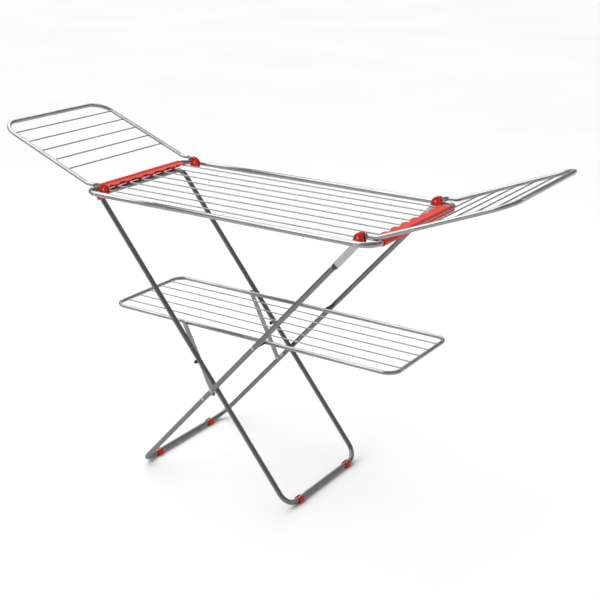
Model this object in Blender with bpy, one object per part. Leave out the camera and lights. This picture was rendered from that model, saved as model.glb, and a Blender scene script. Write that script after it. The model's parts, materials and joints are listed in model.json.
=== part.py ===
"""Winged clothes drying rack with crossed legs and a lower shelf.

Metres, +Z up, X along the rack, the front is -Y. The origin is on the floor under
the middle of the rack. An empty stands on each joint's axis and carries the pieces
that turn about it.
"""

import math

import bmesh
import bpy
from mathutils import Matrix, Vector

# Main rack
RACK_HALF_LENGTH = 0.543
RACK_HALF_WIDTH = 0.265
RACK_HEIGHT = 0.960
RACK_TUBE = 0.0085
RACK_CORNER = 0.050
RACK_WIRES = 8
WIRE = 0.002

# Wings, hinged just above the rails near the ends of the main rack
WING_HINGE_X = 0.480
WING_HINGE_HEIGHT = 0.970
WING_TILT = math.radians(21.2)
WING_LENGTH = 0.4838
WING_DROP = 0.0122
WING_BEND = 0.048
WING_HALF_WIDTH = 0.243
WING_TUBE = 0.007
WING_CORNER = 0.065
WING_WIRES = 5
WING_WIRE_PITCH = 0.0638
WING_FLAT_LENGTH = 0.027
WING_TAPER = 0.016
WING_FLAT_HALF_WIDTH = 0.0085
WING_FLAT_Y = 0.2350

# Crossed legs: the outer pair carries the right end of the rack
LEG_TUBE = 0.0085
LEG_CORNER = 0.050
INNER_TOP_CORNER = 0.030
OUTER_HALF_WIDTH = 0.232
INNER_HALF_WIDTH = 0.2125
OUTER_TOP = Vector((0.471, 0.0, 0.948))
OUTER_FLOOR_X = -0.381
INNER_TOP = Vector((-0.527, 0.0, 0.943))
INNER_FLOOR_X = 0.219
LEG_FLAT_LENGTH = 0.105
LEG_TAPER = 0.016
LEG_FLAT_HALF_WIDTH = 0.0105
LEG_FLAT_Y = 0.2264

# Pressed-flat tube ends
FLAT_HALF_THICKNESS = 0.002
FLAT_SQUARENESS = 0.5

# Lower shelf
SHELF_LEFT_X = -0.521
SHELF_RIGHT_X = 0.570
SHELF_HEIGHT = 0.548
SHELF_HALF_WIDTH = 0.1725
SHELF_TUBE = 0.0065
SHELF_CORNER = 0.040
SHELF_WIRES = 5
SHELF_WIRE = 0.0018

# Flat struts from the shelf rails down to the outer legs
STRUT_TOP = Vector((-0.206, 0.0, 0.546))
STRUT_BOTTOM_HEIGHT = 0.324
STRUT_HALF_WIDTH = 0.009
STRUT_Y = 0.185
STRUT_HALF_THICKNESS = 0.00125

# Rivets and pins
PIN = 0.0025
HEAD = 0.0055
HEAD_THICKNESS = 0.0017
HEAD_CROWN = 0.55
COLLAR = 0.0045
STRUT_COLLAR = 0.004
HOLE_PLAY = 0.0003
DRILL_MARGIN = 0.004
GAP = 0.0004

# Hinge brackets: a slotted block on each rail; u runs inboard from the wing's pin, v up
BRACKET_BLOCK = (0.2290, 0.2410)
BRACKET_SLOT = (0.2325, 0.2375)
BRACKET_SLOT_BOTTOM = -0.0095
BRACKET_APEX = (-0.016, 0.018)
BRACKET_TIP = (0.0145, -0.001)
BRACKET_OUTBOARD = (-0.0215, -0.004)
BRACKET_BOTTOM = -0.0165
BRACKET_LUG = ((0.0185, -0.012), (0.0185, -0.0285), (0.000, -0.0285))
BRACKET_HOOK = ((-0.010, -0.0165), (-0.016, -0.0265), (-0.028, -0.0394), (-0.036, -0.026))
RAIL_RIVET_X = 0.490
BLIND_END = 0.2370

# Comb strips over the wire ends: a sleeve on the tube and a plate of teeth
COMB_HALF_LENGTH = 0.214
COMB_OUTER = 0.0114
COMB_MOUTH = math.radians(24)
COMB_TOOTH_REACH = 0.039
COMB_NOTCH_REACH = 0.0245
COMB_HALF_TOOTH = 0.0175
COMB_PLATE = (0.0045, 0.0075)
COMB_PLATE_BACK = 0.0080
COMB_PLATE_INSET = 0.002

# Feet
FOOT_HEIGHT = 0.003
FOOT_LENGTH = 0.024
FOOT_OUTER = 0.0122
FOOT_Y = 0.145
FOOT_MOUTH = math.radians(40)

# Stop knobs on the inner legs
KNOB_HEIGHT = 0.446
KNOB_RADIUS = 0.006
KNOB_OFFSET = 0.0150
KNOB_Y = (0.2055, 0.2195)
KNOB_CHAMFER = 0.0025

ROUND_SIDES = 12
WIRE_SIDES = 8
ARC_STEPS = 6
BEND_STEPS = 6
SHARP_EDGE = math.radians(35)

FLOOR_TUBE_HEIGHT = FOOT_HEIGHT + LEG_TUBE
OUTER_FLOOR = Vector((OUTER_FLOOR_X, 0.0, FLOOR_TUBE_HEIGHT))
INNER_FLOOR = Vector((INNER_FLOOR_X, 0.0, FLOOR_TUBE_HEIGHT))
SIDES = (("front", -1.0), ("back", 1.0))
ENDS = (("left", -1.0), ("right", 1.0))


# ---------------------------------------------------------------- materials


def plain_material(name, colour, metallic, roughness):
    material = bpy.data.materials.new(name)
    material.use_nodes = True
    shader = material.node_tree.nodes["Principled BSDF"]
    shader.inputs["Base Color"].default_value = (*colour, 1.0)
    shader.inputs["Metallic"].default_value = metallic
    shader.inputs["Roughness"].default_value = roughness
    return material


RACK_PAINT = plain_material("rack_paint", (0.55, 0.55, 0.56), 0.9, 0.30)
LEG_PAINT = plain_material("leg_paint", (0.30, 0.30, 0.31), 0.9, 0.30)
SHELF_PAINT = plain_material("shelf_paint", (0.40, 0.40, 0.41), 0.9, 0.30)
WIRE_PAINT = plain_material("wire_paint", (0.42, 0.42, 0.43), 0.9, 0.34)
STRUT_STEEL = plain_material("strut_steel", (0.38, 0.38, 0.39), 1.0, 0.38)
RIVET_STEEL = plain_material("rivet_steel", (0.60, 0.60, 0.61), 1.0, 0.26)
RED_PLASTIC = plain_material("red_plastic", (0.62, 0.02, 0.01), 0.0, 0.34)
DARK_PLASTIC = plain_material("dark_plastic", (0.03, 0.03, 0.032), 0.0, 0.42)


# ---------------------------------------------------------------- placing


def clear_scene():
    for old in list(bpy.data.objects):
        bpy.data.objects.remove(old, do_unlink=True)


def world_place(carrier):
    """Where an empty stands; the empties carry one another and are never turned."""
    place = carrier.location.copy()
    while carrier.parent:
        carrier = carrier.parent
        place += carrier.location
    return place


def pivot(name, place, carrier=None):
    """An empty on a joint's axis, carried by the body that it turns on."""
    empty = bpy.data.objects.new(name, None)
    empty.empty_display_size = 0.03
    bpy.context.scene.collection.objects.link(empty)
    empty.location = place
    if carrier:
        empty.parent = carrier
        empty.location = place - world_place(carrier)
    return empty


def put(name, mesh, material, carrier, place, rotation=(0.0, 0.0, 0.0)):
    """A piece made of this mesh, hung under its body's empty."""
    if not mesh.materials:
        mesh.materials.append(material)
    piece = bpy.data.objects.new(name, mesh)
    bpy.context.scene.collection.objects.link(piece)
    piece.parent = carrier
    piece.location = place - world_place(carrier)
    piece.rotation_euler = rotation
    return piece


def rising(direction):
    """The turn about Y that lays a piece's own X along a direction in the XZ plane."""
    return (0.0, -math.atan2(direction.z, direction.x), 0.0)


# ---------------------------------------------------------------- meshes


def closed_mesh(name, shape):
    """Turns a bmesh into a mesh with its faces outwards, smooth but for its sharp edges."""
    bmesh.ops.recalc_face_normals(shape, faces=shape.faces)
    mesh = bpy.data.meshes.new(name)
    shape.to_mesh(mesh)
    shape.free()
    mesh.shade_smooth()
    mesh.set_sharp_from_angle(angle=SHARP_EDGE)
    return mesh


def add_loop(shape, points):
    """A closed loop of edges through these points."""
    corners = [shape.verts.new(point) for point in points]
    return [shape.edges.new((a, b)) for a, b in zip(corners, corners[1:] + corners[:1])]


def skin_mesh(name, rings, closed):
    """Bridges rings of points, in order, into a tube that is capped or closes on itself."""
    shape = bmesh.new()
    loops = [add_loop(shape, ring) for ring in rings]
    pairs = list(zip(loops, loops[1:]))
    if closed:
        pairs.append((loops[-1], loops[0]))
    for first, second in pairs:
        bmesh.ops.bridge_loops(shape, edges=first + second)
    if not closed:
        bmesh.ops.contextual_create(shape, geom=loops[0])
        bmesh.ops.contextual_create(shape, geom=loops[-1])
    return closed_mesh(name, shape)


def sign_power(value, power):
    return math.copysign(abs(value) ** power, value)


def oval(centre, across, half_across, half_normal, squareness):
    """A ring round a point; squareness 1 is an ellipse, less is flatter-sided."""
    ring = []
    for k in range(ROUND_SIDES):
        angle = 2 * math.pi * (k + 0.5) / ROUND_SIDES
        u = half_across * sign_power(math.cos(angle), squareness)
        v = half_normal * sign_power(math.sin(angle), squareness)
        ring.append(centre + across * u + Vector((0.0, 0.0, v)))
    return ring


def arc(centre_s, centre_y, radius, start, end):
    """Points of an arc in a bent tube's own plane."""
    points = []
    for k in range(ARC_STEPS + 1):
        angle = start + (end - start) * k / ARC_STEPS
        points.append((centre_s + radius * math.cos(angle), centre_y + radius * math.sin(angle)))
    return points


def bent_tube_mesh(name, stations, closed):
    """A tube that runs from station to station.

    Each station is (x, y, z, half size across, half size along Z, squareness).
    """
    centres = [Vector(station[:3]) for station in stations]
    last = len(centres) - 1
    rings = []
    for i, centre in enumerate(centres):
        before = centres[i - 1] if i > 0 or closed else centre
        after = centres[(i + 1) % len(centres)] if i < last or closed else centre
        tangent = (after - before).normalized()
        across = tangent.cross(Vector((0.0, 0.0, 1.0))).normalized()
        rings.append(oval(centre, across, *stations[i][3:]))
    return skin_mesh(name, rings, closed)


def ring_tube_mesh(name, length, half_width, tube, start_corner, end_corner):
    """A closed loop of tube: two rails along X from 0 to length, and two cross bars."""
    far = length - end_corner
    start_y = half_width - start_corner
    end_y = half_width - end_corner
    path = arc(start_corner, -start_y, start_corner, math.pi, 1.5 * math.pi)
    path += arc(far, -end_y, end_corner, 1.5 * math.pi, 2 * math.pi)
    path += arc(far, end_y, end_corner, 0.0, 0.5 * math.pi)
    path += arc(start_corner, start_y, start_corner, 0.5 * math.pi, math.pi)
    return bent_tube_mesh(name, [(s, y, 0.0, tube, tube, 1.0) for s, y in path], True)


def u_tube_mesh(name, length, half_width, tube, corner, flat):
    """A U of tube: two flattened ends about the pivot at 0, and the bar at length.

    flat is (length, half width, place along Y, taper, bend, drop): past the flat, the tube is
    round again after the taper, and has sunk by the drop after the bend.
    """
    flat_length, flat_half_width, flat_y, taper, bend, drop = flat
    thickness, squareness = FLAT_HALF_THICKNESS, FLAT_SQUARENESS
    side = []
    for degrees in (78, 55, 30, 0):
        angle = math.radians(degrees)
        s, width = -flat_half_width * math.sin(angle), flat_half_width * math.cos(angle)
        side.append((s, -flat_y, 0.0, thickness, width, squareness))
    for k in range(BEND_STEPS + 1):
        share = k / BEND_STEPS
        ease = share * share * (3 - 2 * share)
        pressed = max(0.0, 1.0 - share * bend / taper)
        side.append((
            flat_length + bend * share,
            -half_width + (half_width - flat_y) * pressed,
            -drop * ease,
            tube + (thickness - tube) * pressed,
            tube + (flat_half_width - tube) * pressed,
            1.0 + (squareness - 1.0) * pressed,
        ))
    corner_path = arc(length - corner, corner - half_width, corner, 1.5 * math.pi, 2 * math.pi)
    side += [(s, y, -drop, tube, tube, 1.0) for s, y in corner_path]
    other = [(s, -y, *section) for s, y, *section in reversed(side)]
    return bent_tube_mesh(name, side + other, False)


def rod_mesh(name, length, radius):
    """A round rod along its own Z, its middle at 0."""
    shape = bmesh.new()
    bmesh.ops.create_cone(
        shape, cap_ends=True, segments=WIRE_SIDES, radius1=radius, radius2=radius, depth=length
    )
    return closed_mesh(name, shape)


def turned_mesh(name, profile):
    """A piece turned about its own Y; profile is (place along Y, radius), end to end."""
    shape = bmesh.new()
    start = math.pi / ROUND_SIDES
    line = [shape.verts.new((r * math.cos(start), y, r * math.sin(start))) for y, r in profile]
    edges = [shape.edges.new(pair) for pair in zip(line, line[1:])]
    bmesh.ops.spin(
        shape, geom=line + edges, cent=(0.0, 0.0, 0.0), axis=(0.0, 1.0, 0.0),
        angle=2 * math.pi, steps=ROUND_SIDES, use_merge=True,
    )
    rims = [edge for edge in shape.edges if edge.is_boundary]
    bmesh.ops.holes_fill(shape, edges=rims)
    return closed_mesh(name, shape)


def slab_mesh(name, outline, low, high):
    """An outline in the XZ plane, extruded along Y from low to high."""
    shape = bmesh.new()
    face = shape.faces.new([shape.verts.new((u, low, v)) for u, v in outline])
    pushed = bmesh.ops.extrude_face_region(shape, geom=[face])["geom"]
    moved = [item for item in pushed if isinstance(item, bmesh.types.BMVert)]
    bmesh.ops.translate(shape, verts=moved, vec=(0.0, high - low, 0.0))
    return closed_mesh(name, shape)


def combine(target, other, operation):
    """Joins or cuts target with a helper shape, which isn't a piece of the rack itself."""
    other.hide_render = True
    other.display_type = "WIRE"
    modifier = target.modifiers.new(operation.lower(), "BOOLEAN")
    modifier.operation = operation
    modifier.solver = "EXACT"
    modifier.object = other


def drill(target, place, side, start, end):
    """A pin hole along Y, from one distance from the middle plane to another."""
    radius = PIN + HOLE_PLAY
    mesh = turned_mesh(target.name + "_hole", [(side * start, radius), (side * end, radius)])
    cutter = put(mesh.name, mesh, RIVET_STEEL, target.parent, Vector((place.x, 0.0, place.z)))
    combine(target, cutter, "DIFFERENCE")


def drill_through(target, place, side, inner, outer):
    drill(target, place, side, inner - DRILL_MARGIN, outer + DRILL_MARGIN)


# ---------------------------------------------------------------- fixings


def head(face, outward):
    """Profile of a rivet head that stands on a face, from its shank out to its crown."""
    base = face + outward * GAP
    return [
        (base, PIN),
        (base, HEAD),
        (base + outward * 0.4 * HEAD_THICKNESS, HEAD),
        (base + outward * HEAD_THICKNESS, HEAD_CROWN * HEAD),
    ]


def collar(inner, outer, radius):
    """Profile of a thicker length of a rivet between two faces."""
    return [(inner, PIN), (inner, radius), (outer, radius), (outer, PIN)]


def rivet(name, body, place, side, profile, material=RIVET_STEEL):
    """A turned fixing along Y; profile runs outwards from the middle plane."""
    mesh = turned_mesh(name, [(side * y, radius) for y, radius in profile])
    return put(name, mesh, material, body, Vector((place.x, 0.0, place.z)))


def riveted(inner_face, outer_face, middle):
    """Profile of a rivet with a head on each face and its collar, if any, in between."""
    return list(reversed(head(inner_face, -1.0))) + middle + head(outer_face, 1.0)


# ---------------------------------------------------------------- rack


def on_leg(low_end, high_end, height):
    """The point of a leg's centre line at this height."""
    return low_end.lerp(high_end, (height - low_end.z) / (high_end.z - low_end.z))


def leg_crossing():
    """Where the two pairs of legs cross, seen from the front."""
    outer = OUTER_TOP - OUTER_FLOOR
    inner = INNER_TOP - INNER_FLOOR
    between = INNER_FLOOR - OUTER_FLOOR
    share = (between.x * inner.z - between.z * inner.x) / (outer.x * inner.z - outer.z * inner.x)
    return OUTER_FLOOR + outer * share


def wing_hinge(end_side):
    return Vector((end_side * WING_HINGE_X, 0.0, WING_HINGE_HEIGHT))


def rail_rivet_place(end_side):
    return Vector((end_side * RAIL_RIVET_X, 0.0, RACK_HEIGHT))


def build_rack(body):
    start = Vector((-RACK_HALF_LENGTH, 0.0, RACK_HEIGHT))
    mesh = ring_tube_mesh(
        "main_frame", 2 * RACK_HALF_LENGTH, RACK_HALF_WIDTH, RACK_TUBE, RACK_CORNER, RACK_CORNER
    )
    frame = put("main_frame", mesh, RACK_PAINT, body, start)
    for _, end_side in ENDS:
        for _, side in SIDES:
            inner, outer = RACK_HALF_WIDTH - RACK_TUBE, RACK_HALF_WIDTH + RACK_TUBE
            drill_through(frame, rail_rivet_place(end_side), side, inner, outer)
    wire_mesh = rod_mesh("rack_wire", 2 * (RACK_HALF_LENGTH - RACK_TUBE - GAP), WIRE)
    for i in range(RACK_WIRES):
        place = Vector((0.0, wire_y(i, RACK_WIRES, RACK_HALF_WIDTH), RACK_HEIGHT))
        put(f"rack_wire_{i + 1}", wire_mesh, WIRE_PAINT, body, place, (0.0, math.pi / 2, 0.0))


def wire_y(index, count, half_width):
    """Place of one of the wires that divide the space between two rails evenly."""
    return half_width * (2 * (index + 1) / (count + 1) - 1)


def comb_outline():
    """Top view of a comb's plate: straight at the back, a rounded tooth over each wire."""
    end = COMB_HALF_LENGTH - COMB_PLATE_INSET
    last_tooth = end - COMB_HALF_TOOTH - GAP
    outline = [(COMB_PLATE_BACK, -end), (COMB_NOTCH_REACH, -end)]
    for i in range(RACK_WIRES):
        middle = wire_y(i, RACK_WIRES, RACK_HALF_WIDTH)
        middle = max(-last_tooth, min(last_tooth, middle))
        for degrees in (-80, -55, -25, 25, 55, 80):
            angle = math.radians(degrees)
            reach = (COMB_TOOTH_REACH - COMB_NOTCH_REACH) * sign_power(math.cos(angle), 0.6)
            along = COMB_HALF_TOOTH * sign_power(math.sin(angle), 0.8)
            outline.append((COMB_NOTCH_REACH + reach, middle + along))
    outline += [(COMB_NOTCH_REACH, end), (COMB_PLATE_BACK, end)]
    return outline


def open_ring(inner, outer, mouth, steps):
    """A C-shaped outline, its mouth towards the first axis."""
    turn = 2 * math.pi - 2 * mouth
    angles = [mouth + turn * k / steps for k in range(steps + 1)]
    outside = [(outer * math.cos(a), outer * math.sin(a)) for a in angles]
    inside = [(inner * math.cos(a), inner * math.sin(a)) for a in reversed(angles)]
    return outside + inside


def build_combs(body):
    """Each comb faces inboard; the right one is the same piece turned half round."""
    sleeve = open_ring(RACK_TUBE + GAP, COMB_OUTER, COMB_MOUTH, 16)
    sleeve_mesh = slab_mesh("comb_sleeve", sleeve, -COMB_HALF_LENGTH, COMB_HALF_LENGTH)
    teeth_mesh = slab_mesh("comb_teeth", comb_outline(), *COMB_PLATE)
    lay_flat = Matrix.Rotation(math.pi / 2, 4, "X")
    teeth_mesh.transform(lay_flat)
    for name, end_side in ENDS:
        place = Vector((end_side * RACK_HALF_LENGTH, 0.0, RACK_HEIGHT))
        facing = (0.0, 0.0, math.pi if end_side > 0 else 0.0)
        comb = put(f"comb_{name}", sleeve_mesh.copy(), RED_PLASTIC, body, place, facing)
        teeth = put(f"comb_{name}_teeth", teeth_mesh, RED_PLASTIC, body, place, facing)
        combine(comb, teeth, "UNION")


def bracket_outline(carries_leg, hooked):
    """Side view of a bracket: a fin over the wing's pin, and what reaches down from it."""
    apex_u, apex_v = BRACKET_APEX
    tip_u, tip_v = BRACKET_TIP
    outboard_u, _ = BRACKET_OUTBOARD
    outline = []
    for k in range(ARC_STEPS + 1):
        angle = math.pi / 2 * (1 - k / ARC_STEPS)
        u = apex_u + (tip_u - apex_u) * math.cos(angle)
        outline.append((u, tip_v + (apex_v - tip_v) * math.sin(angle)))
    if carries_leg:
        outline += BRACKET_LUG
    else:
        outline.append((tip_u, BRACKET_BOTTOM))
    if hooked:
        outline += BRACKET_HOOK
    else:
        outline.append((outboard_u, BRACKET_BOTTOM))
    outline.append(BRACKET_OUTBOARD)
    return outline


def build_bracket(end_name, end_side, side_name, side, body):
    """A block on the rail's inner side, slotted for the flat end of the wing."""
    carries_leg = end_name == "right"
    hooked = (end_name, side_name) == ("left", "front")
    hinge = wing_hinge(end_side)
    inner, outer = BRACKET_BLOCK
    outline = [(-end_side * u, v) for u, v in bracket_outline(carries_leg, hooked)]
    mesh = slab_mesh("bracket", outline, side * inner, side * outer)
    bracket = put(f"bracket_{end_name}_{side_name}", mesh, RED_PLASTIC, body, hinge)
    slot_reach = 2 * (outer - inner) + WING_FLAT_LENGTH
    slot = [
        (-slot_reach, BRACKET_SLOT_BOTTOM), (slot_reach, BRACKET_SLOT_BOTTOM),
        (slot_reach, slot_reach), (-slot_reach, slot_reach),
    ]
    slot_mesh = slab_mesh("bracket_slot", slot, side * BRACKET_SLOT[0], side * BRACKET_SLOT[1])
    cutter = put(f"bracket_{end_name}_{side_name}_slot", slot_mesh, RED_PLASTIC, body, hinge)
    combine(bracket, cutter, "DIFFERENCE")
    drill_through(bracket, hinge, side, inner, outer)
    drill(bracket, rail_rivet_place(end_side), side, BLIND_END - GAP, outer + DRILL_MARGIN)
    if carries_leg:
        drill(bracket, OUTER_TOP, side, inner - DRILL_MARGIN, BLIND_END + GAP)


def build_bracket_rivets(end_name, end_side, side_name, side, body):
    """The wing's pin, and the rivet that holds the bracket to the rail by a spacer."""
    inner, outer = BRACKET_BLOCK
    name = f"{end_name}_{side_name}"
    rivet(f"wing_rivet_{name}", body, wing_hinge(end_side), side, riveted(inner, outer, []))
    spacer = collar(outer + GAP, RACK_HALF_WIDTH - RACK_TUBE - GAP, COLLAR)
    profile = [(BLIND_END, PIN)] + spacer + head(RACK_HALF_WIDTH + RACK_TUBE, 1.0)
    rivet(f"rail_rivet_{name}", body, rail_rivet_place(end_side), side, profile)


def build_brackets(body, leg_body):
    for end_name, end_side in ENDS:
        for side_name, side in SIDES:
            build_bracket(end_name, end_side, side_name, side, body)
            build_bracket_rivets(end_name, end_side, side_name, side, body)
    for side_name, side in SIDES:
        profile = list(reversed(head(LEG_FLAT_Y - FLAT_HALF_THICKNESS, -1.0)))
        profile.append((BLIND_END, PIN))
        rivet(f"top_rivet_{side_name}", leg_body, OUTER_TOP, side, profile)


def build_wing(name, end_side, body):
    """The left wing is the right one turned half round."""
    hinge = wing_hinge(end_side)
    half_turn = 0.0 if end_side > 0 else math.pi
    along = Vector((end_side * math.cos(WING_TILT), 0.0, math.sin(WING_TILT)))
    up = Vector((-end_side * math.sin(WING_TILT), 0.0, math.cos(WING_TILT)))
    mesh = u_tube_mesh(
        f"wing_{name}", WING_LENGTH, WING_HALF_WIDTH, WING_TUBE, WING_CORNER,
        (WING_FLAT_LENGTH, WING_FLAT_HALF_WIDTH, WING_FLAT_Y, WING_TAPER, WING_BEND, WING_DROP),
    )
    wing = put(f"wing_{name}", mesh, RACK_PAINT, body, hinge, (0.0, -WING_TILT, half_turn))
    for _, side in SIDES:
        inner, outer = WING_FLAT_Y - FLAT_HALF_THICKNESS, WING_FLAT_Y + FLAT_HALF_THICKNESS
        drill_through(wing, hinge, side, inner, outer)
    wire_mesh = rod_mesh(f"wing_{name}_wire", 2 * (WING_HALF_WIDTH - WING_TUBE - GAP), WIRE)
    for i in range(WING_WIRES):
        reach = WING_LENGTH - WING_WIRE_PITCH * (WING_WIRES - i)
        place = hinge + along * reach - up * WING_DROP
        put(f"wing_{name}_wire_{i + 1}", wire_mesh, WIRE_PAINT, body, place, (math.pi / 2, 0.0, 0.0))


# ---------------------------------------------------------------- legs


def build_outer_legs(body):
    crossing = leg_crossing()
    strut_bottom = on_leg(OUTER_FLOOR, OUTER_TOP, STRUT_BOTTOM_HEIGHT)
    shelf_pivot = on_leg(OUTER_FLOOR, OUTER_TOP, SHELF_HEIGHT)
    down = OUTER_FLOOR - OUTER_TOP
    mesh = u_tube_mesh(
        "outer_legs", down.length, OUTER_HALF_WIDTH, LEG_TUBE, LEG_CORNER,
        (LEG_FLAT_LENGTH, LEG_FLAT_HALF_WIDTH, LEG_FLAT_Y, LEG_TAPER, LEG_TAPER, 0.0),
    )
    legs = put("outer_legs", mesh, LEG_PAINT, body, OUTER_TOP, rising(down))
    inner_face, outer_face = OUTER_HALF_WIDTH - LEG_TUBE, OUTER_HALF_WIDTH + LEG_TUBE
    inner_leg_face = INNER_HALF_WIDTH + LEG_TUBE
    rail_face = SHELF_HALF_WIDTH + SHELF_TUBE
    strut_face = STRUT_Y + STRUT_HALF_THICKNESS
    for name, side in SIDES:
        for place in (crossing, strut_bottom, shelf_pivot):
            drill_through(legs, place, side, inner_face, outer_face)
        drill_through(legs, OUTER_TOP, side, LEG_FLAT_Y, LEG_FLAT_Y)
        washer = collar(inner_leg_face + GAP, inner_face - GAP, HEAD)
        profile = riveted(INNER_HALF_WIDTH - LEG_TUBE, outer_face, washer)
        rivet(f"leg_rivet_{name}", body, crossing, side, profile)
        spacer = collar(strut_face + GAP, inner_face - GAP, STRUT_COLLAR)
        profile = riveted(STRUT_Y - STRUT_HALF_THICKNESS, outer_face, spacer)
        rivet(f"strut_pin_{name}", body, strut_bottom, side, profile)
        spacer = collar(rail_face + GAP, inner_face - GAP, HEAD)
        profile = riveted(SHELF_HALF_WIDTH - SHELF_TUBE, outer_face, spacer)
        rivet(f"shelf_pin_{name}", body, shelf_pivot, side, profile, DARK_PLASTIC)


def build_inner_legs(body):
    crossing = leg_crossing()
    up = INNER_TOP - INNER_FLOOR
    mesh = ring_tube_mesh(
        "inner_legs", up.length, INNER_HALF_WIDTH, LEG_TUBE, LEG_CORNER, INNER_TOP_CORNER
    )
    legs = put("inner_legs", mesh, LEG_PAINT, body, INNER_FLOOR, rising(up))
    outward_from_leg = up.normalized().cross(Vector((0.0, 1.0, 0.0)))
    knob_place = on_leg(INNER_FLOOR, INNER_TOP, KNOB_HEIGHT) + outward_from_leg * KNOB_OFFSET
    low, high = KNOB_Y
    profile = [
        (low, KNOB_RADIUS - KNOB_CHAMFER), (low + KNOB_CHAMFER, KNOB_RADIUS),
        (high - KNOB_CHAMFER, KNOB_RADIUS), (high, KNOB_RADIUS - KNOB_CHAMFER),
    ]
    for name, side in SIDES:
        inner, outer = INNER_HALF_WIDTH - LEG_TUBE, INNER_HALF_WIDTH + LEG_TUBE
        drill_through(legs, crossing, side, inner, outer)
        rivet(f"stop_knob_{name}", body, knob_place, side, profile, DARK_PLASTIC)


def foot_outline():
    """End view of a foot: a clip round the floor bar, open at the top, flat underneath."""
    inner = LEG_TUBE + GAP
    rim = math.pi / 2 - FOOT_MOUTH
    outline = []
    for share in (1.0, 0.5, 0.0):
        outline.append((FOOT_OUTER * math.cos(rim * share), FOOT_OUTER * math.sin(rim * share)))
    outline += [(FOOT_OUTER, -FLOOR_TUBE_HEIGHT), (-FOOT_OUTER, -FLOOR_TUBE_HEIGHT)]
    for share in (0.0, 0.5, 1.0):
        outline.append((-FOOT_OUTER * math.cos(rim * share), FOOT_OUTER * math.sin(rim * share)))
    around = 2 * math.pi - 2 * FOOT_MOUTH
    for k in range(ROUND_SIDES + 1):
        angle = math.pi / 2 + FOOT_MOUTH + around * k / ROUND_SIDES
        outline.append((inner * math.cos(angle), inner * math.sin(angle)))
    return outline


def build_feet(pair, floor_place, body):
    mesh = slab_mesh("foot", foot_outline(), -FOOT_LENGTH / 2, FOOT_LENGTH / 2)
    for name, side in SIDES:
        place = floor_place + Vector((0.0, side * FOOT_Y, 0.0))
        put(f"foot_{pair}_{name}", mesh, RED_PLASTIC, body, place)


# ---------------------------------------------------------------- shelf


def build_shelf(body):
    length = SHELF_RIGHT_X - SHELF_LEFT_X
    start = Vector((SHELF_LEFT_X, 0.0, SHELF_HEIGHT))
    mesh = ring_tube_mesh(
        "shelf_frame", length, SHELF_HALF_WIDTH, SHELF_TUBE, SHELF_CORNER, SHELF_CORNER
    )
    frame = put("shelf_frame", mesh, SHELF_PAINT, body, start)
    shelf_pivot = on_leg(OUTER_FLOOR, OUTER_TOP, SHELF_HEIGHT)
    for _, side in SIDES:
        inner, outer = SHELF_HALF_WIDTH - SHELF_TUBE, SHELF_HALF_WIDTH + SHELF_TUBE
        drill_through(frame, shelf_pivot, side, inner, outer)
    wire_mesh = rod_mesh("shelf_wire", length - 2 * (SHELF_TUBE + GAP), SHELF_WIRE)
    for i in range(SHELF_WIRES):
        y = wire_y(i, SHELF_WIRES, SHELF_HALF_WIDTH)
        place = Vector((SHELF_LEFT_X + length / 2, y, SHELF_HEIGHT))
        put(f"shelf_wire_{i + 1}", wire_mesh, WIRE_PAINT, body, place, (0.0, math.pi / 2, 0.0))


def strut_outline(length):
    """Side view of a strut lying along its own X: a strip with round ends."""
    outline = []
    for centre, first in ((length, -math.pi / 2), (0.0, math.pi / 2)):
        for k in range(ROUND_SIDES // 2 + 1):
            angle = first + 2 * math.pi * k / ROUND_SIDES
            u = centre + STRUT_HALF_WIDTH * math.cos(angle)
            outline.append((u, STRUT_HALF_WIDTH * math.sin(angle)))
    return outline


def build_strut(name, side, body):
    """A strip that turns on its lower end and bears on the shelf rail with a button."""
    bottom = on_leg(OUTER_FLOOR, OUTER_TOP, STRUT_BOTTOM_HEIGHT)
    up = STRUT_TOP - bottom
    low, high = STRUT_Y - STRUT_HALF_THICKNESS, STRUT_Y + STRUT_HALF_THICKNESS
    mesh = slab_mesh(f"strut_{name}", strut_outline(up.length), side * low, side * high)
    strut = put(f"strut_{name}", mesh, STRUT_STEEL, body, bottom, rising(up))
    sink, rim, crown = 0.001, 0.0012, 0.0025
    button = turned_mesh(
        "strut_button",
        [(side * (high - sink), HEAD), (side * (high + rim), HEAD), (side * (high + crown), HEAD / 2)],
    )
    top = put(f"strut_{name}_button", button, RIVET_STEEL, body, STRUT_TOP)
    combine(strut, top, "UNION")
    drill_through(strut, bottom, side, low, high)


# ---------------------------------------------------------------- assembly


def build():
    clear_scene()
    outer_body = pivot("outer_leg_body", Vector())
    inner_body = pivot("fold_pivot", leg_crossing(), outer_body)
    rack_body = pivot("rack_pivot", OUTER_TOP, outer_body)
    shelf_body = pivot("shelf_pivot", on_leg(OUTER_FLOOR, OUTER_TOP, SHELF_HEIGHT), outer_body)
    build_outer_legs(outer_body)
    build_feet("outer", OUTER_FLOOR, outer_body)
    build_inner_legs(inner_body)
    build_feet("inner", INNER_FLOOR, inner_body)
    build_rack(rack_body)
    build_combs(rack_body)
    build_brackets(rack_body, outer_body)
    for name, end_side in ENDS:
        build_wing(name, end_side, pivot(f"{name}_wing_pivot", wing_hinge(end_side), rack_body))
    build_shelf(shelf_body)
    strut_bottom = on_leg(OUTER_FLOOR, OUTER_TOP, STRUT_BOTTOM_HEIGHT)
    for name, side in SIDES:
        place = strut_bottom + Vector((0.0, side * STRUT_Y, 0.0))
        strut_body = pivot(f"{name}_strut_pivot", place, outer_body)
        build_strut(name, side, strut_body)


build()
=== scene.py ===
"""Looks for the winged clothes drying rack: finished tubes, wires, plastic parts and fixings.

Metres, in the same frame as the CAD: +X along the rack, the front is -Y, +Z up.
"""

import json
import math

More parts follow.
